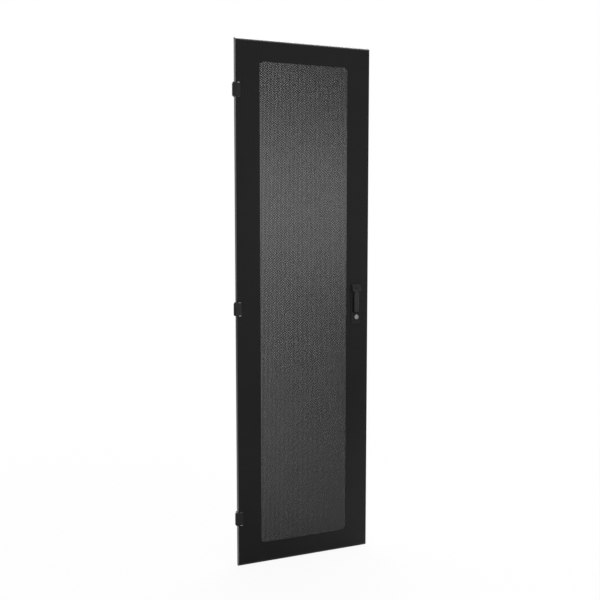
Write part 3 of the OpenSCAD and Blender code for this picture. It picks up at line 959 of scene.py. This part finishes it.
@dataclass
class SwingHandle:
    """The swing handle with its lever, latch cam and key lock.

    Attributes:
        ribs: how many grip ribs the lever has.
        rib_w: a rib's length across the lever.
        rib_r: its radius.
        rib_step: the way from one rib to the next.
        rib_sink: how deep a rib's middle lies in the lever, in radii.
        toe_gap: the way from the lever's toe to the first rib.
        shutter: the width, thickness and height of the keyway's shutter.
        shutter_rim: the width and depth of its rim.
        shutter_depth: how deep the shutter's middle lies behind the plug's face.
        pieces: the new pieces with their finishes and bodies.
    """

    ribs: int = 5
    rib_w: float = 0.0125
    rib_r: float = 0.0006
    rib_step: float = 0.0034
    rib_sink: float = 0.25
    toe_gap: float = 0.009
    shutter: Metres = (0.0013, 0.0008, 0.0066)
    shutter_rim: float = 0.0002
    shutter_depth: float = 0.0018
    pieces: list[tuple[bpy.types.Object, Looks, str]] = field(default_factory=list)

    def build(self) -> None:
        """Adds the lever's grip ribs and the shutter in the keyway."""
        self.pieces.append((self._grip_ribs(), Looks.CAST, "lever"))
        self.pieces.append((self._shutter(), Looks.BRIGHT, "key"))

    def _grip_ribs(self) -> bpy.types.Object:
        """Low round ribs across the lever's front, just above its toe."""
        low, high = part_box("handle_lever")
        clear_selection()
        bpy.ops.mesh.primitive_cylinder_add(vertices=12, radius=self.rib_r, depth=self.rib_w,
                                            rotation=(0.0, math.pi / 2, 0.0))
        rib = own("grip_ribs")
        settle(rib)
        bpy.ops.object.mode_set(mode="EDIT")
        pick(rib, lambda face: abs(face.normal.x) > 0.9)
        bpy.ops.mesh.inset(thickness=self.rib_r * 0.45)
        bpy.ops.transform.resize(value=(1.05, 1.0, 1.0))
        bpy.ops.object.mode_set(mode="OBJECT")
        repeat(rib, self.ribs, (0.0, 0.0, self.rib_step))
        rib.location = ((low.x + high.x) / 2, low.y + self.rib_r * self.rib_sink, low.z + self.toe_gap)
        settle(rib)
        return rib

    def _shutter(self) -> bpy.types.Object:
        """The dust shutter just inside the keyway."""
        low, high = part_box("key_plug")
        clear_selection()
        bpy.ops.mesh.primitive_cube_add(size=1.0)
        shutter = own("key_shutter")
        shutter.scale = self.shutter
        settle(shutter)
        bpy.ops.object.mode_set(mode="EDIT")
        pick(shutter, lambda face: face.normal.y < -0.9)
        bpy.ops.mesh.inset(thickness=self.shutter_rim)
        bpy.ops.transform.translate(value=(0.0, self.shutter_rim, 0.0))
        bpy.ops.object.mode_set(mode="OBJECT")
        shutter.location = ((low.x + high.x) / 2, low.y + self.shutter_depth, (low.z + high.z) / 2)
        settle(shutter)
        return shutter

    def dress(self) -> None:
        """Gives the handle's parts their finishes."""
        for piece, look, body in self.pieces:
            finish_piece(piece, look, body)
        dress_nodes(["handle_gasket"], Looks.RUBBER)
        dress_nodes(["handle_base"], Looks.PLASTIC)
        dress_nodes(["handle_hub", "handle_lever"], Looks.CAST)
        dress_nodes(["handle_bracket", "handle_screws", "latch_cam", "cam_screw", "plug_cam",
                     "plug_screw"], Looks.ZINC)
        dress_nodes(["hub_clip", "lever_pin", "lock_nut"], Looks.BRIGHT)
        dress_nodes(["lock_barrel", "key_plug"], Looks.CHROME)


# ---------- studio ----------

@dataclass(frozen=True)
class Lamp:
    """A soft rectangular lamp whose width lies level.

    Attributes:
        name: the lamp's name.
        place: where it hangs.
        aim: the point that it faces.
        width: its width.
        height: its height.
        power: its power in watts.
    """

    name: str
    place: Metres
    aim: Metres
    width: float
    height: float
    power: float

    def hang(self) -> None:
        """Puts the lamp in its place and turns it to its aim."""
        data = bpy.data.lights.new(self.name, "AREA")
        data.shape = "RECTANGLE"
        data.size = self.width
        data.size_y = self.height
        data.energy = self.power
        lamp = bpy.data.objects.new(self.name, data)
        bpy.context.scene.collection.objects.link(lamp)
        lamp.location = self.place
        lamp.rotation_euler = (Vector(self.aim) - Vector(self.place)).to_track_quat("-Z", "Y").to_euler()


@dataclass(frozen=True)
class View:
    """The camera, at the left of the door and a little above its middle.

    Attributes:
        place: where it stands.
        fall: how far below the level it looks, in degrees.
        turn: how far to the right of straight ahead it looks, in degrees.
        lens: its focal length in millimetres.
        sensor: its sensor's width in millimetres.
        reach: how far it sees, in metres.
    """

    place: Metres = (-1.0774, -3.0237, 0.3428)
    fall: float = 5.543
    turn: float = 23.726
    lens: float = 51.778
    sensor: float = 36.0
    reach: float = 200.0

    def set_up(self) -> None:
        """Makes the camera and gives it to the scene."""
        data = bpy.data.cameras.new("camera")
        data.lens = self.lens
        data.sensor_width = self.sensor
        data.clip_end = self.reach
        camera = bpy.data.objects.new("camera", data)
        bpy.context.scene.collection.objects.link(camera)
        camera.location = self.place
        camera.rotation_euler = (math.radians(90.0 - self.fall), 0.0, math.radians(-self.turn))
        bpy.context.scene.camera = camera


@dataclass
class Studio:
    """The pale floor, the white surroundings, the soft lamps and the camera.

    Attributes:
        floor_z: the floor's height.
        floor_size: the floor's width and depth.
        floor_tone: how much light the floor throws back, from 0 to 1.
        glow: how much of the floor's look near the door is plain white to the camera.
        near: how far from the middle the floor starts to turn white.
        fade: how long that takes, in metres.
        fill: how bright the surroundings light the door.
        dim: how bright they mirror in front of the door.
        side: how much of the white they mirror straight to the side.
        side_step: how fast that grows towards the back.
        view: the camera.
        lamps: the lamps.
    """

    floor_z: float
    floor_size: float = 60.0
    floor_tone: float = 0.62
    glow: float = 0.93
    near: float = 1.2
    fade: float = 1.6
    fill: float = 0.35
    dim: float = 0.25
    side: float = 0.75
    side_step: float = 1.6
    view: View = View()
    lamps: tuple[Lamp, ...] = (
        Lamp("overhead", (1.0, 0.7, 3.2), (0.8, 0.4, 0.4), 2.0, 2.0, 160.0),
        Lamp("front", (-2.8, -4.4, 2.2), (0.25, 0.0, 0.0), 2.4, 2.4, 60.0),
        Lamp("rear", (0.4, 4.2, 2.6), (0.25, 0.0, 0.0), 2.4, 2.4, 50.0),
        Lamp("strip", (1.54, -2.93, 0.42), (0.25, 0.0, 0.32), 2.6, 0.6, 24.0),
        Lamp("brow", (0.85, -1.4, 3.1), (0.25, 0.0, 0.98), 1.2, 1.2, 24.0),
    )

    def build(self) -> None:
        """Makes the floor, the world, the lamps and the camera."""
        self._floor()
        self._world()
        for lamp in self.lamps:
            lamp.hang()
        self.view.set_up()

    def _floor(self) -> None:
        """A wide pale floor that looks white to the camera and keeps a soft shadow."""
        clear_selection()
        bpy.ops.mesh.primitive_plane_add(size=self.floor_size, location=(0.0, 0.0, self.floor_z))
        floor = own("studio_floor")
        settle(floor)
        made = bpy.data.materials.new("studio_floor")
        made.use_nodes = True
        graph = Graph(made.node_tree)
        reach = graph.node("ShaderNodeVectorMath", {"operation": "LENGTH"}, {0: graph.place()})
        far = ((Term(graph, reach.outputs["Value"]) - self.near) / self.fade).clipped()
        white_share = graph.ray("Is Camera Ray") * (self.glow + (1.0 - self.glow) * far)
        matt = graph.node("ShaderNodeBsdfDiffuse", {}, {"Color": (*[self.floor_tone] * 3, 1.0)})
        white = graph.node("ShaderNodeEmission", {}, {"Color": (1.0, 1.0, 1.0, 1.0), "Strength": 1.0})
        both = graph.blend(white_share, matt, white)
        graph.node("ShaderNodeOutputMaterial", {}, {"Surface": both.outputs[0]})
        floor.data.materials.append(made)
        floor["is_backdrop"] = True

    def _world(self) -> None:
        """Surroundings that light softly, look white to the camera, and are dimmer in front for gloss."""
        world = bpy.data.worlds.new("studio")
        bpy.context.scene.world = world
        world.use_nodes = True
        graph = Graph(world.node_tree)
        way = graph.node("ShaderNodeTexCoord").outputs["Generated"]
        split = graph.node("ShaderNodeSeparateXYZ", {}, {0: way})
        behind = (Term(graph, split.outputs[1]) * self.side_step + self.side).clipped()
        soft, dim, white = (
            graph.node("ShaderNodeBackground", {}, {"Color": (*colour, 1.0), "Strength": strength})
            for colour, strength in (((0.96, 0.98, 1.0), self.fill), ((0.97, 0.98, 1.0), self.dim),
                                     ((1.0, 1.0, 1.0), 1.0)))
        gloss = graph.ray("Is Glossy Ray").larger(graph.ray("Is Transmission Ray"))
        lit = graph.blend(gloss, soft, graph.blend(behind, dim, white))
        both = graph.blend(graph.ray("Is Camera Ray"), lit, white)
        graph.node("ShaderNodeOutputWorld", {}, {"Surface": both.outputs[0]})


def main() -> None:
    """Builds the studio and the sub-assemblies."""
    logging.basicConfig(level=logging.INFO, format="%(message)s")
    for thing in list(bpy.context.scene.objects):
        if thing.type in {"CAMERA", "LIGHT"} or thing.name == "Cube":
            bpy.data.objects.remove(thing)
    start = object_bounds()
    bpy.context.scene.view_settings.view_transform = "Standard"
    Studio(floor_z=start[0].z - 0.0005).build()
    for group in (FoldedPanel(), PerforatedSheet(), HingeSet(), SwingHandle()):
        group.build()
        group.dress()
        LOG.info("%s is done", type(group).__name__)
    clear_selection()


if __name__ == "__main__":
    main()
